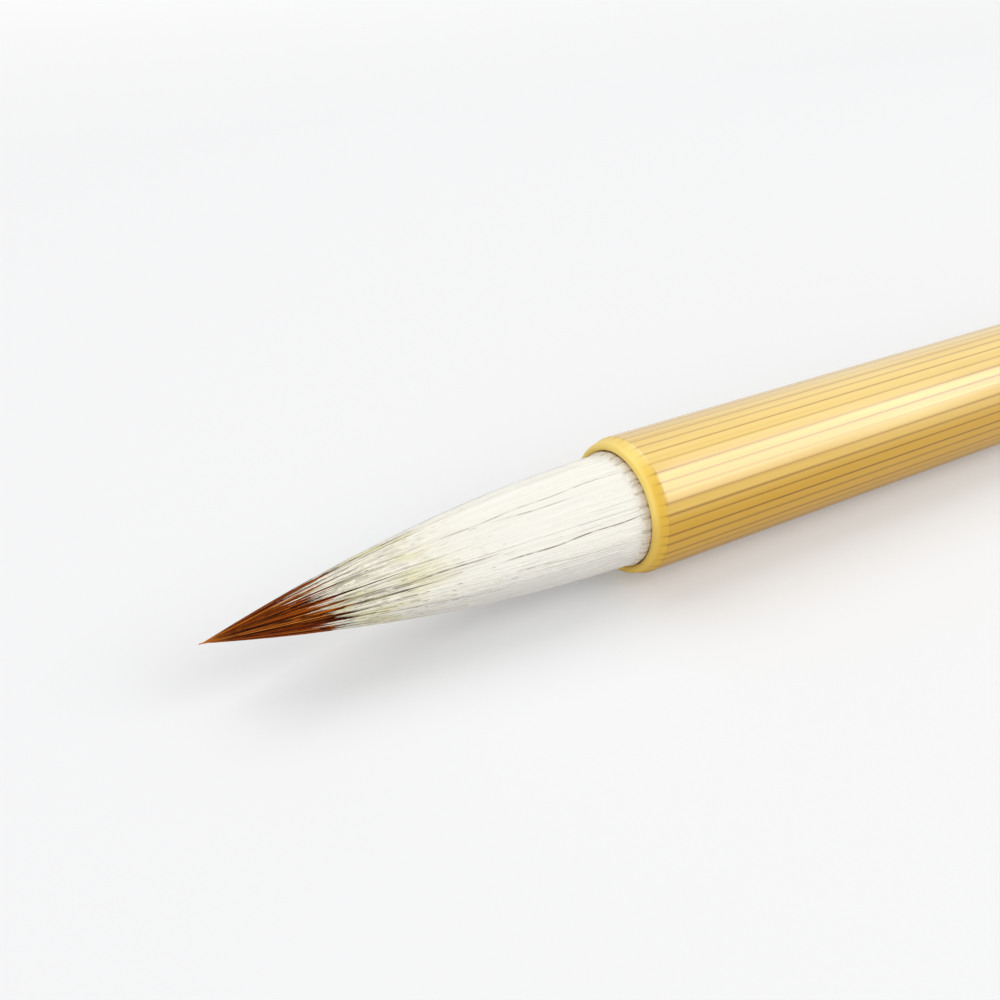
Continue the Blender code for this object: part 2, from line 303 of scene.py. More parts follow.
def skin(name, along, radii, marks=None, ring=False, uneven=False):
    """A closed round body from rings of points: x of each point, its radius, and named numbers to keep.

    The rings run from the front to the back on the outside. A ring body comes back inside and joins its first
    ring, and any other body closes in a point at both ends. The columns of an uneven one follow LOCK_WAVES.
    """
    rings, columns = radii.shape
    angles = np.arange(columns) * 2 * math.pi / columns
    if uneven:
        angles = angles + sum(size * np.sin(angles * waves + waves) for waves, size in LOCK_WAVES)
    places = [np.broadcast_to(along, radii.shape), radii * np.cos(angles), radii * np.sin(angles) + axis_z]
    places = np.stack(places, 2).reshape(-1, 3)
    last = rings if ring else rings - 1
    faces = []
    for row in range(last):
        here, there = row * columns, (row + 1) % rings * columns
        for column in range(columns):
            beside = (column + 1) % columns
            faces.append((here + column, here + beside, there + beside, there + column))
    ends = []
    if not ring:
        ends = [(along[0].mean(), 0, axis_z), (along[-1].mean(), 0, axis_z)]
        front, back = len(places), len(places) + 1
        base = (rings - 1) * columns
        for column in range(columns):
            beside = (column + 1) % columns
            faces.append((front, beside, column))
            faces.append((back, base + column, base + beside))
        places = np.concatenate([places, ends])
    mesh = bpy.data.meshes.new(name)
    mesh.from_pydata(places.tolist(), [], faces)
    for label, values in (marks or {}).items():
        values = np.broadcast_to(values, radii.shape)
        kept = np.concatenate([values.ravel(), [values[0].mean(), values[-1].mean()] if ends else []])
        mesh.attributes.new(label, "FLOAT", "POINT").data.foreach_set("value", kept.astype(np.float32))
    mesh.shade_smooth()
    item = bpy.data.objects.new(name, mesh)
    bpy.context.scene.collection.objects.link(item)
    return item


def combed(columns, lines, depth, width, seed):
    """Radial offset of each column of a combed bundle, with shallow parting grooves of uneven depth."""
    chance = np.random.default_rng(seed)
    angles = np.arange(columns) * 2 * math.pi / columns
    offset = chance.uniform(-0.5, 0.0, columns) * depth * 0.5
    for _ in range(lines):
        centre = chance.uniform(0, 2 * math.pi)
        apart = np.abs((angles - centre + math.pi) % (2 * math.pi) - math.pi)
        offset -= depth * chance.uniform(0.3, 1.0) * np.exp(-((apart / width) ** 2))
    return offset


def strand_tree():
    """Hairs laid along the tuft, each a three-sided tube from inside the mouth to its own end."""
    tree = bpy.data.node_groups.new("laid_hairs", "GeometryNodeTree")
    whole_numbers = ("Hairs", "Seed")
    tuft_sizes = ("Thickness", "Mouth X", "Axis Z", "Tuft radius", "Tuft length", "Belly", "Mouth swell")
    lock_sizes = ("Start", "Shortest", "Longest", "Locks", "Drawn together", "Gather from", "Lock point")
    layer_sizes = ("Short side", "Short angle", "Layer", "Sway", "Covered by", "Covered to")
    for name in whole_numbers + tuft_sizes + lock_sizes + layer_sizes:
        kind = "NodeSocketInt" if name in whole_numbers else "NodeSocketFloat"
        tree.interface.new_socket(name, in_out="INPUT", socket_type=kind)
    tree.interface.new_socket("Finish", in_out="INPUT", socket_type="NodeSocketMaterial")
    tree.interface.new_socket("Geometry", in_out="OUTPUT", socket_type="NodeSocketGeometry")
    entry = tree.nodes.new("NodeGroupInput")
    given = {socket.name: Wire(socket) for socket in entry.outputs if socket.name}
    anything = given["Hairs"]

    line = anything.node("GeometryNodeCurvePrimitiveLine", None, {"End": (1, 0, 0)})
    sockets = {"Geometry": line, "Amount": given["Hairs"]}
    many = line.node("GeometryNodeDuplicateElements", {"domain": "SPLINE"}, sockets)
    marked = many.node("GeometryNodeResampleCurve", None, {"Curve": many, "Count": HAIR_POINTS})
    hair = anything.node("GeometryNodeCurveOfPoint")
    share = anything.node("GeometryNodeSplineParameter")

    def chance(which, number):
        """A number from 0 to 1 for each hair, or for each lock and then the same in every layer."""
        seed = given["Seed"] * SEED_STEP + number if which is hair else number
        sockets = {"ID": which, "Seed": seed}
        return anything.node("FunctionNodeRandomValue", {"data_type": "FLOAT"}, sockets, output=1)

    turns = (hair + chance(hair, 1)) / given["Hairs"] * given["Locks"]
    lock = (turns + LOCK_WANDER * chance(hair, 2) - LOCK_WANDER / 2).math("FLOOR")
    middle = lock + 0.2 + 0.6 * chance(lock, 3)
    reach = chance(lock, 4) * LOCK_SAY + chance(hair, 5) * (1 - LOCK_SAY)
    reach = given["Shortest"] + (given["Longest"] - given["Shortest"]) * reach
    reach = reach - (turns - middle).math("ABSOLUTE") * given["Lock point"]
    aside = (turns * (2 * math.pi) / given["Locks"] - given["Short angle"]).math("ABSOLUTE")
    reach = reach - aside.rise(SHORT_SIDE_WIDTH, SHORT_SIDE_WIDTH / 2) * given["Short side"]
    out = given["Start"] + (reach - given["Start"]) * share
    gather = out.rise(given["Gather from"], 1.0) * given["Drawn together"]
    sway = (out * (2 + 5 * chance(hair, 6)) + 7 * chance(hair, 7)).math("SINE")
    angle = (turns + gather * (middle - turns)) * (2 * math.pi) / given["Locks"]
    for waves, size in LOCK_WAVES:
        angle = angle + (angle * waves + waves).math("SINE") * size
    angle = angle + sway * given["Sway"]
    outline = given["Tuft radius"] * (1 - out.math("MAXIMUM", 0.0).math("POWER", given["Belly"]))
    swell = (1 - out.math("ABSOLUTE") / SWELL_REACH).math("MAXIMUM", 0.0)
    outline = outline + given["Mouth swell"] * swell * swell
    depth = chance(hair, 8) * given["Layer"]
    covered = given["Covered by"] * (1 - out.rise(given["Covered to"] - COVER_FADE, given["Covered to"]))
    radius = outline * (1 - depth) - given["Thickness"] * 0.5 - covered
    radius = radius.math("MAXIMUM", HAIR_CENTRE)
    sockets = {
        0: given["Mouth X"] - out * given["Tuft length"],
        1: radius * angle.math("COSINE"),
        2: radius * angle.math("SINE") + given["Axis Z"],
    }
    position = anything.node("ShaderNodeCombineXYZ", None, sockets)
    marks = {"tone": chance(hair, 9), "lock_tone": chance(lock, 10), "out": out, "depth": depth}
    for label, value in marks.items():
        settings = {"data_type": "FLOAT", "domain": "POINT"}
        sockets = {"Geometry": marked, "Name": label, "Value": value}
        marked = marked.node("GeometryNodeStoreNamedAttribute", settings, sockets)
    taper = 1 - share.math("POWER", TAPER_POWER) * HAIR_TAPER
    laid = marked.node("GeometryNodeSetPosition", None, {"Geometry": marked, "Position": position})
    laid = laid.node("GeometryNodeSetCurveRadius", None, {"Curve": laid, "Radius": taper})
    sockets = {"Resolution": HAIR_SIDES, "Radius": given["Thickness"] * 0.5}
    section = anything.node("GeometryNodeCurvePrimitiveCircle", None, sockets)
    sockets = {"Curve": laid, "Profile Curve": section, "Scale": taper, "Fill Caps": True}
    tubes = laid.node("GeometryNodeCurveToMesh", None, sockets)
    real = tubes.node("GeometryNodeRealizeInstances", None, {"Geometry": tubes})
    done = real.node("GeometryNodeSetMaterial", None, {"Geometry": real, "Material": given["Finish"]})
    leave = tree.nodes.new("NodeGroupOutput")
    tree.links.new(done.socket, leave.inputs["Geometry"])
    return tree


laid_hairs = strand_tree()


def lay_hairs(name, material, **sizes):
    """One layer of hairs as a plain mesh. The sizes are inputs of the tree, by name."""
    sizes = {key.replace("_", " ").capitalize(): value for key, value in sizes.items()}
    sizes |= {"Mouth X": mouth_x, "Axis Z": axis_z, "Tuft radius": TUFT_RADIUS, "Tuft length": tuft_length}
    sizes |= {"Thickness": HAIR_THICKNESS, "Belly": BELLY, "Mouth swell": MOUTH_SWELL, "Finish": material}
    item = bpy.data.objects.new(name, bpy.data.meshes.new(name))
    bpy.context.scene.collection.objects.link(item)
    modifier = item.modifiers.new("hairs", "NODES")
    modifier.node_group = laid_hairs
    for socket in laid_hairs.interface.items_tree:
        if socket.in_out == "INPUT":
            modifier[socket.identifier] = sizes[socket.name]
    bpy.context.view_layer.update()
    evaluated = item.evaluated_get(bpy.context.evaluated_depsgraph_get())
    mesh = bpy.data.meshes.new_from_object(evaluated)
    item.modifiers.remove(modifier)
    item.data = mesh
    mesh.name = name
    mesh.shade_smooth()
    return item


def mark(wire, name):
    """A named number that the mesh keeps at its points."""
    return wire.node("ShaderNodeAttribute", {"attribute_name": name}, output=2)


def noise(place, detail, scale=1.0, roughness=0.5):
    """Soft random bumps from 0 to 1, at a place given as a vector."""
    sockets = {"Vector": place, "Scale": scale, "Detail": detail, "Roughness": roughness}
    return place.node("ShaderNodeTexNoise", None, sockets)


def parting_shade(spot, out, lines):
    """How much painted shade each point gets in a parting between locks: 0 outside them and 1 in the middle of
    a deep one.

    Fine ones run between all locks from the middle of the tuft on. A line adds a long one. It gives the share
    of the tuft's length where it starts and where it ends, its angle at the start, from the top towards +Y,
    its drift in angle by the end, and its strength.
    """
    across, above = coordinate(spot, 1), coordinate(spot, 2) - axis_z
    around = across.math("ARCTAN2", above)
    radius = (across * across + above * above).math("SQRT")
    uneven = noise(spot.node("ShaderNodeCombineXYZ", None, {0: out * 30, 1: around * 2}), 2.0).rise(0.3, 0.55)
    ridges = noise(spot.node("ShaderNodeCombineXYZ", None, {0: out * 7, 1: around * 12}), 1.0)
    deepest = (ridges - 0.5).math("ABSOLUTE").rise(0.034, 0.0) * out.rise(*FINE_ZONE) * 0.7
    for start, end, angle, drift, strength in lines:
        sway = (out * 34 + 9 * angle).math("SINE") * 0.012
        centre = (out - start) * (drift / (end - start)) + angle + sway
        line = ((around - centre).math("ABSOLUTE") * radius).rise((out + 0.8) * PARTING_WIDTH, 0.0)
        line = line * out.rise(start - 0.03, start + 0.05) * out.rise(end + 0.03, end - 0.06) * strength
        deepest = deepest.math("MAXIMUM", line)
    return deepest * (uneven * 0.7 + 0.3)


brown, brown_shader, spot = finish("brown_hair", Roughness=0.42, Specular_IOR_Level=0.05)
tone, lock_tone, out = mark(spot, "tone"), mark(spot, "lock_tone"), mark(spot, "out")
mixed = tone * 0.86 + lock_tone * 0.14
brown_colour = mixed.node("ShaderNodeValToRGB", {"stops": BROWN_STOPS}, {"Fac": mixed})
brown_colour = (out.rise(*TIP_ZONE) * 0.8).blend(brown_colour, TIP_BROWN)
# Painted shade in the partings of the point.
shade = parting_shade(spot, out, POINT_PARTINGS)
drive(brown_shader, "Base Color", shade.blend(brown_colour, BROWN_SHADE))

# Rings from the point to the root, closest together at the point.
rows = np.concatenate([np.linspace(1.0, 0.62, 40), np.linspace(0.60, 0.0, 24), np.linspace(-0.02, -0.12, 8)])
rows = np.append(rows, -root_length / tuft_length)[:, None]
grooves = combed(CORE_COLUMNS, lines=60, depth=0.00006, width=0.012, seed=CORE_SEED)
under_cover = COVER_WALL * smooth(rows, 0.9, 0.55)
core_radii = tuft_outline(rows) - under_cover
grooves = grooves * np.minimum(core_radii / GROOVED_FROM, 1)
core_radii = np.maximum(core_radii * CORE_FIT - CORE_INSET + grooves, CORE_TIP_RADIUS)
core_bits = np.random.default_rng(CORE_SEED).uniform(0.0, 0.6, CORE_COLUMNS)
core = skin(
    "core_hair_bundle",
    mouth_x - rows * tuft_length,
    core_radii,
    {"tone": core_bits, "lock_tone": core_bits[::-1] * 0.5, "out": rows, "depth": 0.2},
)
core.data.materials.append(brown)
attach(core, "root")
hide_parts("core_hair")

core_laid = lay_hairs(
    "core_hair_laid",
    brown,
    hairs=CORE_HAIRS,
    seed=1,
    start=0.30,
    shortest=0.93,
    longest=1.0,
    locks=17.0,
    drawn_together=0.55,
    gather_from=0.55,
    lock_point=0.02,
    short_side=0.0,
    short_angle=0.0,
    layer=0.10,
    sway=0.04,
    covered_by=0.00040,
    covered_to=0.77,
)
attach(core_laid, "root")
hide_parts("core_hair")

# ---- Lining hair -------------------------------------------------------------------------------
# Shorter, stiffer straw-coloured hair between core and cover, which gives the belly its body. It is combed
# straight, bound in with the rest at the root, and out of sight.

LINING_STREAKS = (60, 6000, 6000)
LINING_DARK = (0.34, 0.22, 0.10, 1)
LINING_PALE = (0.82, 0.70, 0.48, 1)


def streaked(place, density, detail, roughness=0.5):
    """Noise drawn out along the brush. The density, per metre, is along X, Y and Z."""
    drawn = place.node("ShaderNodeMapping", None, {"Vector": place, "Scale": density})
    return noise(drawn, detail, roughness=roughness)


def finish_node(name, material):
    """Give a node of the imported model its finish."""
    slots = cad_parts[name].data.materials
    slots.clear()
    slots.append(material)


lining, lining_shader, spot = finish("lining_hair", Roughness=0.6)
streaks = streaked(spot, LINING_STREAKS, 3.0)
drive(lining_shader, "Base Color", streaks.blend(LINING_DARK, LINING_PALE))
finish_node("lining_hair", lining)

# ---- Cover hair --------------------------------------------------------------------------------
# A white mantle of softer hair laid round the outside. Its ends run out in locks over the brown core, and
# they are shorter on one side. It is a shell with single hairs laid over it in three layers.

HEM_SHORTEST = 0.69
HEM_LONGEST = 0.785
HEM_SHORT_SIDE = 0.065  # how much shorter the hem is on its short side
HEM_SHORT_ANGLE = 3.47  # where that side is, from +Y towards the top
HEM_HIGHEST = 0.52
HEM_FRAY = 0.02
COVER_COLUMNS = 600
COVER_SEED = 23
COVER_HAIRS = 2500
COVER_LOCKS = 34
COVER_LAYERS = ((2, 0.010, 0.89), (3, 0.02, 0.88), (4, 0.04, 0.84))  # seed, depth and longest hair of each
LOCK_MIDDLE = 0.36  # share of a lock, from its middle, in which the mantle keeps its own tone
MANTLE_FIT = 0.99
MANTLE_WALL = COVER_WALL * 0.8
OUTER_INSET = 0.00006
INNER_INSET = 0.00008
LEAST_WALL = 0.00002
WALL_RUNS_ON = 0.02  # how far past the hem the wall would run out
MANTLE_GROOVED_FROM = 0.003
CREAM_ZONE = (0.34, 0.68)  # shares of the tuft's length between which white turns to cream
STRAW_ZONE = (0.42, 0.62)  # between which the straw patches come in
BITS_ZONE = (0.24, 0.46)  # between which the dark bits come in
MORE_BITS_ZONE = (0.36, 0.76)  # and get more
MOUTH_SHADE_ZONE = (0.026, 0.004)  # between which the painted shade at the mouth comes in
STRAW_PATCHES = (140, 700, 700)
# Long partings of painted shade in the white hair, as parting_shade() takes them.
BODY_PARTINGS = (
    (0.00, 0.36, -1.11, -0.08, 1.0),
    (0.38, 0.74, -0.99, -0.08, 0.8),
    (0.02, 0.50, -0.27, -0.06, 0.5),
    (0.18, 0.36, -0.47, 0.07, 0.5),
    (0.05, 0.36, -1.55, 0.12, 0.4),
    (0.36, 0.62, -1.78, 0.08, 0.5),
    (0.60, 0.76, -0.40, -0.05, 0.7),
    (0.52, 0.72, -0.28, -0.04, 0.5),
    (0.48, 0.70, -0.70, 0.05, 0.35),
    (0.52, 0.74, -0.82, -0.05, 0.5),
    (0.56, 0.74, -1.42, 0.05, 0.5),
    (0.50, 0.72, 0.15, 0.04, 0.8),
    (0.10, 0.55, 0.60, 0.08, 0.7),
    (0.48, 0.74, 0.95, -0.06, 0.9),
    (0.00, 0.40, 1.40, -0.07, 0.9),
    (0.42, 0.72, 1.62, 0.08, 0.8),
    (0.05, 0.60, 2.10, 0.06, 0.6),
    (0.50, 0.74, 2.50, -0.05, 0.9),
    (0.00, 0.45, 2.80, 0.09, 0.8),
    (0.45, 0.72, -2.70, 0.07, 0.8),
    (0.04, 0.50, -2.35, -0.07, 0.7),
)
WHITE_STOPS = (
    (0.0, (0.58, 0.54, 0.46)),
    (0.02, (0.83, 0.80, 0.71)),
    (0.3, (0.93, 0.91, 0.83)),
    (1.0, (0.975, 0.96, 0.895)),
)
CREAM_STOPS = (
    (0.0, (0.04, 0.02, 0.008)),
    (0.07, (0.12, 0.065, 0.02)),
    (0.12, (0.55, 0.45, 0.23)),
    (0.24, (0.90, 0.85, 0.65)),
    (0.50, (0.95, 0.93, 0.80)),
    (1.0, (0.985, 0.975, 0.91)),
)
STRAW_PATCH = (0.80, 0.75, 0.42, 1)
DARK_BIT = (0.10, 0.055, 0.02, 1)
WHITE_SHADE = (0.12, 0.075, 0.025, 1)
MOUTH_PAINTED_SHADE = (0.38, 0.22, 0.08, 1)

white, white_shader, spot = finish(
    "white_hair", Roughness=0.5, Specular_IOR_Level=0.35, Sheen_Weight=0.5, Sheen_Roughness=0.35
)
tone, lock_tone, out = mark(spot, "tone"), mark(spot, "lock_tone"), mark(spot, "out")
mixed = tone * 0.88 + lock_tone * 0.12
white_colour = tone.node("ShaderNodeValToRGB", {"stops": WHITE_STOPS}, {"Fac": tone})
cream_colour = mixed.node("ShaderNodeValToRGB", {"stops": CREAM_STOPS}, {"Fac": mixed})
white_colour = out.rise(*CREAM_ZONE).blend(white_colour, cream_colour)
patches = streaked(spot, STRAW_PATCHES, 2.0).rise(0.48, 0.66) * out.rise(*STRAW_ZONE) * 0.65
white_colour = patches.blend(white_colour, STRAW_PATCH)
bits = noise(spot.node("ShaderNodeCombineXYZ", None, {0: tone * 400, 1: out * 16, 2: lock_tone * 40}), 2.0)
dark_bits = (bits + out.rise(*MORE_BITS_ZONE) * 0.12).rise(0.69, 0.735) * out.rise(*BITS_ZONE) * 0.85
white_colour = dark_bits.blend(white_colour, DARK_BIT)
# Painted shade in the partings of the white hair, broken up hair by hair.
shade = parting_shade(spot, out, BODY_PARTINGS) * (bits.rise(0.36, 0.52) * 0.5 + 0.5)
white_colour = shade.blend(white_colour, WHITE_SHADE)
# Painted shade on the hair where it enters the lip, broken up hair by hair.
mouth_shade = out.rise(*MOUTH_SHADE_ZONE) * bits.rise(0.42, 0.60) * 0.8
drive(white_shader, "Base Color", mouth_shade.blend(white_colour, MOUTH_PAINTED_SHADE))

# Each lock of the hem reaches out by its own length and falls away to both sides.
chance = np.random.default_rng(COVER_SEED)
columns = np.arange(COVER_COLUMNS)
locks = (np.arange(COVER_LOCKS) + 0.5) / COVER_LOCKS
lock_reach = chance.uniform(0.0, 1.0, COVER_LOCKS)
apart = np.abs((columns[:, None] / COVER_COLUMNS - locks + 0.5) % 1 - 0.5) * COVER_LOCKS
nearest = apart.argmin(1)
hem = HEM_SHORTEST + (HEM_LONGEST - HEM_SHORTEST) * (0.75 * lock_reach[nearest] + 0.25 - 0.9 * apart.min(1))
hem = np.clip(hem + chance.uniform(-HEM_FRAY, HEM_FRAY, COVER_COLUMNS), HEM_HIGHEST, HEM_LONGEST)
aside = np.abs(columns * 2 * math.pi / COVER_COLUMNS - HEM_SHORT_ANGLE)
hem -= HEM_SHORT_SIDE * smooth(aside, SHORT_SIDE_WIDTH, SHORT_SIDE_WIDTH / 2)
# Rings from the hem to the root on the outside, closest together at the hem, and half as many inside.
shares = np.concatenate([np.linspace(1, 0.8, 22), np.linspace(0.78, 0, 34)])[:, None]
outside = shares * hem
root_rows = np.array([-0.02, -0.04, -0.06, -0.08, -0.10, -0.12, -root_length / tuft_length])[:, None]
outside = np.concatenate([outside, np.broadcast_to(root_rows, (len(root_rows), COVER_COLUMNS))])
inside = outside[::-1][::2]
grooves = combed(COVER_COLUMNS, lines=110, depth=0.00005, width=0.009, seed=COVER_SEED)
outline = tuft_outline(outside)
groove_depths = grooves * np.minimum(outline / MANTLE_GROOVED_FROM, 1)
outer_radii = outline * MANTLE_FIT - OUTER_INSET + groove_depths
outline = tuft_outline(inside)
groove_depths = grooves * np.minimum(outline / MANTLE_GROOVED_FROM, 1)
wall = np.clip(MANTLE_WALL * (1 - inside / (hem + WALL_RUNS_ON)), LEAST_WALL, MANTLE_WALL)
inner_radii = outline * MANTLE_FIT - INNER_INSET - wall + groove_depths
cover_rows = np.concatenate([outside, inside])
cover_bits = chance.uniform(0.1, 1.0, COVER_COLUMNS) * (apart.min(1) < LOCK_MIDDLE)
lock_bits = lock_reach[nearest] * (cover_bits > 0)
cover = skin(
    "cover_hair_mantle",
    mouth_x - cover_rows * tuft_length,
    np.concatenate([outer_radii, inner_radii]),
    {"tone": cover_bits, "lock_tone": lock_bits, "out": cover_rows, "depth": 0.1},
    ring=True,
    uneven=True,
)
cover.data.materials.append(white)
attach(cover, "root")
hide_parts("cover_hair")

for layer, (seed, layer_depth, longest) in enumerate(COVER_LAYERS):
    laid = lay_hairs(
        f"cover_hair_laid_{layer + 1}",
        white,
        hairs=COVER_HAIRS,
        seed=seed,
        start=-0.03,
        shortest=0.70,
        longest=longest,
        locks=float(COVER_LOCKS),
        drawn_together=0.75,
        gather_from=0.25,
        lock_point=0.05,
        short_side=HEM_SHORT_SIDE,
        short_angle=HEM_SHORT_ANGLE,
        layer=layer_depth,
        sway=0.018,
        covered_by=0.0,
        covered_to=1.0,
    )
    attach(laid, "root")
    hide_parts("cover_hair")

# ---- Root thread -------------------------------------------------------------------------------
# Hemp thread wound six times round the root and pulled tight, so that no hair slips out. It is out of sight
# in the socket.

TWISTS = 900.0
TWIST_ANGLE = 0.6
HEMP_DARK = (0.36, 0.25, 0.12, 1)
HEMP_PALE = (0.66, 0.54, 0.34, 1)

hemp, hemp_shader, spot = finish("hemp_thread", Roughness=0.85)
twist = spot.node("ShaderNodeMapping", None, {"Vector": spot, "Rotation": (0, 0, TWIST_ANGLE)})
sockets = {"Vector": twist, "Scale": TWISTS, "Distortion": 1.5}
twist = twist.node("ShaderNodeTexWave", {"bands_direction": "X"}, sockets)
drive(hemp_shader, "Base Color", twist.blend(HEMP_DARK, HEMP_PALE))
finish_node("root_thread", hemp)

# ---- Root rosin --------------------------------------------------------------------------------
# A disc of rosin, melted onto the end of the root, where it seals the cut ends of the hair. It is out of
# sight in the socket.

ROSIN_CLOUD = 900.0
ROSIN_DARK = (0.16, 0.05, 0.01, 1)
ROSIN_PALE = (0.48, 0.22, 0.05, 1)

rosin, rosin_shader, spot = finish("rosin", Roughness=0.25)
drive(rosin_shader, "Base Color", noise(spot, 4.0, scale=ROSIN_CLOUD).blend(ROSIN_DARK, ROSIN_PALE))
finish_node("root_rosin", rosin)

# ---- Socket glue -------------------------------------------------------------------------------
# The bed of set adhesive between the bound root and the bored socket, which holds the tuft in the handle.
# It is out of sight.

GLUE_CLOUD = 700.0
GLUE_DARK = (0.30, 0.15, 0.04, 1)
GLUE_PALE = (0.58, 0.38, 0.14, 1)

glue, glue_shader, spot = finish("set_glue", Roughness=0.35)
drive(glue_shader, "Base Color", noise(spot, 3.0, scale=GLUE_CLOUD).blend(GLUE_DARK, GLUE_PALE))
finish_node("socket_glue", glue)

# ---- Handle ------------------------------------------------------------------------------------
# One internode of bamboo, scraped, polished and lacquered, with painted shade on one side: a deeper gold,
# darker fibre lines and less coat there. Its mouth is pared to a narrow band and a rounded lip, and bored as a
# socket for the tuft. The fibre bundles show as thin dark lines.

SOCKET_RADIUS = 0.0050
LIP_RADIUS = 0.0057
BAND_LENGTH = 0.0012
SOCKET_DEPTH = 0.0127
DRILL_POINT = math.radians(59)
LUMEN_RADIUS = 0.0019
CULM_TAPER = 0.00015
TAIL_ROUND = 0.0007
PLUG_BORE_RADIUS = 0.0030
PLUG_BORE_DEPTH = 0.0095
EASED_EDGE = 0.0003
CREASE = math.radians(38)  # an edge that turns by more than this is sharp
BAND_DROP = 0.00006  # how far the rear of the band lies below the bare culm
BAND_RIM = 0.00001  # and the rim behind it
CULM_FRONT = 0.0014  # where the bare culm starts behind the mouth
CULM_REAR = 0.0008  # and ends before the tail
CULM_RINGS = 56
OUTSIDE_RADIUS = 0.0045  # a ring narrower than this is in the bores
HANDLE_COLUMNS = 800
FIBRE_LINES = 41
FIBRE_DEPTH = 0.000005
STRIP_FLATNESS = 0.000012
HANDLE_SEED = 5
PAINTED_SHADE_SIDE = (-0.87, -0.5)  # direction, across and up, of the side with painted shade in a deeper gold
BAMBOO_GRAIN = (12, 1500, 1500)
BAMBOO_CLOUD = (25, 320, 320)
STRAW_DEEP = (0.67, 0.42, 0.065, 1)
STRAW_PALE = (0.80, 0.545, 0.115, 1)
STRAW_CLOUD = (0.88, 0.66, 0.23, 1)
PAINTED_SHADE_GOLD = (0.56, 0.30, 0.006, 1)
BAND_PALE = (0.88, 0.63, 0.14, 1)
BAND_PAINTED_SHADE = (0.76, 0.475, 0.052, 1)
BAND_DEEPER_PAINTED_SHADE = (0.60, 0.36, 0.04, 1)
LIP_GOLD = (0.90, 0.66, 0.16, 1)
FIBRE_PALE = (0.29, 0.12, 0.007, 1)
FIBRE_PAINTED_SHADE = (0.19, 0.075, 0.003, 1)

culm_length = tail_x - mouth_x
lip_round = (LIP_RADIUS - SOCKET_RADIUS) / 2


def sweep(centre, sizes, start, end, steps):
    """Points (place along X, radius) on an elliptic arc. Angles in degrees, 0 outwards, 90 to the back."""
    turns = np.radians(np.linspace(start, end, steps + 1))
    return [(centre[0] + sizes[0] * math.sin(t), centre[1] + sizes[1] * math.cos(t)) for t in turns]


rear = culm_radius - CULM_TAPER
lip_centre = (lip_round, SOCKET_RADIUS + lip_round)
profile = sweep(lip_centre, (lip_round, lip_round), -90, 0, 8)
profile.append((BAND_LENGTH * 0.93, culm_radius - BAND_DROP))
profile.append((BAND_LENGTH, culm_radius - BAND_RIM))
for x in np.linspace(CULM_FRONT, culm_length - CULM_REAR, CULM_RINGS):
    profile.append((x, culm_radius + (rear - culm_radius) * x / culm_length))
profile += sweep((culm_length - TAIL_ROUND, rear - TAIL_ROUND), (TAIL_ROUND, TAIL_ROUND), 0, 90, 6)
profile.append((culm_length, PLUG_BORE_RADIUS + EASED_EDGE))
profile.append((culm_length - EASED_EDGE, PLUG_BORE_RADIUS))
profile.append((culm_length - PLUG_BORE_DEPTH, PLUG_BORE_RADIUS))
profile.append((culm_length - PLUG_BORE_DEPTH, LUMEN_RADIUS))
profile.append((SOCKET_DEPTH + (SOCKET_RADIUS - LUMEN_RADIUS) / math.tan(DRILL_POINT), LUMEN_RADIUS))
profile.append((SOCKET_DEPTH, SOCKET_RADIUS))
profile += sweep(lip_centre, (lip_round, lip_round), -180, -90, 8)[:-1]
profile = np.array(profile)
back, radii = profile[:, :1], profile[:, 1:]

chance = np.random.default_rng(HANDLE_SEED)
angles = np.arange(HANDLE_COLUMNS) * 2 * math.pi / HANDLE_COLUMNS
outer = (radii > OUTSIDE_RADIUS) & (back > BAND_LENGTH * 0.9)
lines = np.zeros((len(profile), HANDLE_COLUMNS))
centres = (np.arange(FIBRE_LINES) + chance.uniform(-0.12, 0.12, FIBRE_LINES)) * 2 * math.pi / FIBRE_LINES
for centre in centres:
    wander = chance.uniform(-0.006, 0.006) * np.sin(back * chance.uniform(15, 40) + chance.uniform(0, 6))
    strength = chance.uniform(0.5, 1.0)
    strength = strength * (0.85 + 0.15 * np.sin(back * chance.uniform(30, 120) + chance.uniform(0, 6)))
    width = chance.uniform(0.012, 0.019)
    apart = np.abs((angles - centre - wander + math.pi) % (2 * math.pi) - math.pi)
    lines = np.maximum(lines, strength * np.exp(-((apart / width) ** 2)))
lines = lines * outer
around = np.concatenate([centres[-1:] - 2 * math.pi, centres, centres[:1] + 2 * math.pi])
strip = np.interp(angles, around, np.arange(-1, FIBRE_LINES + 1))
flatness = chance.uniform(0.5, 1.0, FIBRE_LINES)[np.floor(strip).astype(int) % FIBRE_LINES]
strips = STRIP_FLATNESS * flatness * 4 * (strip % 1) * (1 - strip % 1) * outer
handle = skin(
    "handle_culm",
    mouth_x + back,
    radii - lines * FIBRE_DEPTH - strips,
    {"fibre": lines, "behind": back},
    ring=True,
)
handle.data.set_sharp_from_angle(angle=CREASE)

bamboo, bamboo_shader, spot = finish(
    "lacquered_bamboo", Roughness=0.34, Specular_IOR_Level=0.3, Coat_Roughness=0.22, Coat_IOR=1.66
)
fibre, behind = mark(spot, "fibre"), mark(spot, "behind")
grain = streaked(spot, BAMBOO_GRAIN, 4.0, roughness=0.6)
cloud = streaked(spot, BAMBOO_CLOUD, 2.0)
straw = grain.rise(0.35, 0.65).blend(STRAW_DEEP, STRAW_PALE)
straw = (cloud.rise(0.35, 0.7) * 0.5).blend(straw, STRAW_CLOUD)
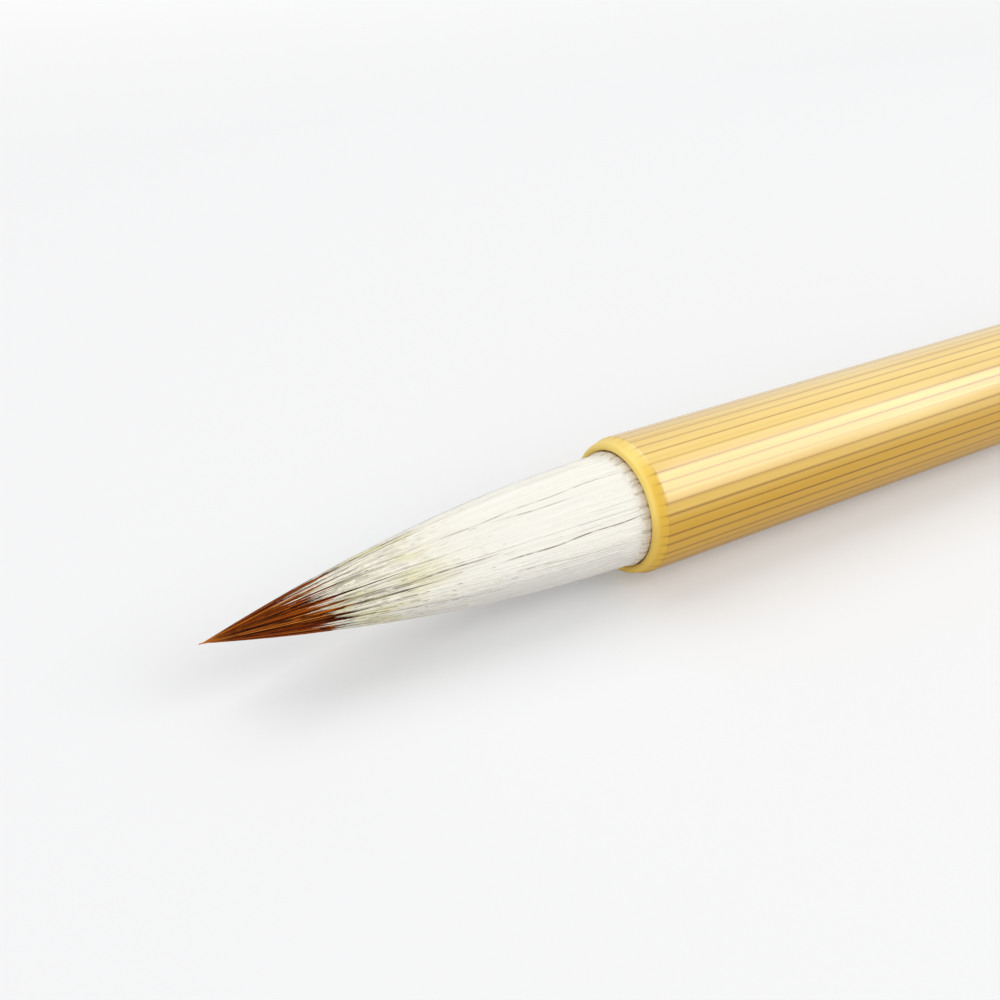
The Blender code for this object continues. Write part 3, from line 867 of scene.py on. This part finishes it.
# Painted shade: the culm turns a deeper gold towards one fixed side, with darker fibre lines and less coat
# there.
across, above = coordinate(spot, 1), coordinate(spot, 2) - axis_z
towards_painted_shade = across * (PAINTED_SHADE_SIDE[0] / culm_radius) + above * (PAINTED_SHADE_SIDE[1] / culm_radius)
painted_shade_share = (towards_painted_shade + cloud * 0.2).rise(0.5, 0.9)
straw = (painted_shade_share * 0.88).blend(straw, PAINTED_SHADE_GOLD)
band = behind.rise(BAND_LENGTH * 1.02, BAND_LENGTH * 0.9)
lip = behind.rise(BAND_LENGTH * 0.5, 0.0)
# Painted shade on the pared band: its own pale colour on one side, a deeper gold towards the shaded side.
pared = towards_painted_shade.rise(-0.35, 0.35).blend(BAND_PALE, BAND_PAINTED_SHADE)
straw = band.blend(straw, pared)
straw = lip.blend(straw, LIP_GOLD)
# More painted shade on the band on the shaded side.
straw = (painted_shade_share * band * 0.5).blend(straw, BAND_DEEPER_PAINTED_SHADE)
# Fibre lines darker and stronger on the side with painted shade.
line_colour = painted_shade_share.blend(FIBRE_PALE, FIBRE_PAINTED_SHADE)
lined = (fibre * (0.9 + painted_shade_share * 0.25 - band * 0.45)).math("MINIMUM", 1.0)
drive(bamboo_shader, "Base Color", lined.blend(straw, line_colour))
# Less coat on the side with painted shade, which dulls its reflection there.
drive(bamboo_shader, "Coat Weight", (0.9 - band * 0.6) * (1 - painted_shade_share * 0.6))
drive(bamboo_shader, "Roughness", band * 0.15 + 0.33)
bump = spot.node("ShaderNodeBump", None, {"Strength": 0.25, "Distance": 0.00002, "Height": grain})
drive(bamboo_shader, "Normal", bump)
handle.data.materials.append(bamboo)
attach(handle, "root")
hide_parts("handle")

# ---- Tail plug ---------------------------------------------------------------------------------
# One turning of dark stained hardwood: a shank glued into the tail, a collar, a cove and a button. The hole
# down the middle of the button is for the knot of a hanging loop.

FIT_GAP = 0.0003
COLLAR_STEP = 0.0003
COLLAR_THICKNESS = 0.0014
NECK_LENGTH = 0.0012
NECK_RADIUS = 0.0023
BUTTON_RADIUS = 0.0039
BUTTON_FACE_RADIUS = 0.0025
CORD_HOLE_RADIUS = 0.0008
CORD_HOLE_DEPTH = 0.0050
BUTTON_SHOULDER = 0.0016
PLUG_COLUMNS = 160
WOOD_GRAIN = (90, 1300, 1300)
WOOD_DARK = (0.05, 0.014, 0.005, 1)
WOOD_PALE = (0.22, 0.07, 0.02, 1)

plug_low, plug_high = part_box("tail_plug")
shank = PLUG_BORE_RADIUS - FIT_GAP
collar = rear - COLLAR_STEP
collar_round = COLLAR_THICKNESS / 2
collar_back = tail_x + FIT_GAP + COLLAR_THICKNESS
cove = NECK_LENGTH / 2
button_line = collar_back + NECK_LENGTH + BUTTON_SHOULDER
cove_rim = NECK_RADIUS + cove
profile = [(plug_low.x, shank - EASED_EDGE), (plug_low.x + EASED_EDGE, shank), (tail_x + FIT_GAP, shank)]
collar_centre = (collar_back - collar_round, collar - collar_round)
profile += sweep(collar_centre, (collar_round, collar_round), -90, 90, 16)
profile += sweep((collar_back + cove, cove_rim), (cove, -cove), -90, 90, 16)
profile += sweep((button_line, cove_rim), (BUTTON_SHOULDER, BUTTON_RADIUS - cove_rim), -90, 0, 12)[1:]
dome = (plug_high.x - button_line, BUTTON_RADIUS - BUTTON_FACE_RADIUS)
profile += sweep((button_line, BUTTON_FACE_RADIUS), dome, 0, 90, 16)[1:]
profile.append((plug_high.x, CORD_HOLE_RADIUS + EASED_EDGE))
profile.append((plug_high.x - EASED_EDGE, CORD_HOLE_RADIUS))
profile.append((plug_high.x - CORD_HOLE_DEPTH, CORD_HOLE_RADIUS))
profile = np.array(profile)
plug = skin("tail_plug_turning", profile[:, :1], np.repeat(profile[:, 1:], PLUG_COLUMNS, 1))
plug.data.set_sharp_from_angle(angle=CREASE)

wood, wood_shader, spot = finish(
    "stained_hardwood", Roughness=0.42, Specular_IOR_Level=0.3, Coat_Weight=0.3, Coat_Roughness=0.12
)
grain = streaked(spot, WOOD_GRAIN, 5.0, roughness=0.65)
drive(wood_shader, "Base Color", grain.rise(0.3, 0.7).blend(WOOD_DARK, WOOD_PALE))
bump = spot.node("ShaderNodeBump", None, {"Strength": 0.3, "Distance": 0.00003, "Height": grain})
drive(wood_shader, "Normal", bump)
plug.data.materials.append(wood)
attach(plug, "root")
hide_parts("tail_plug")
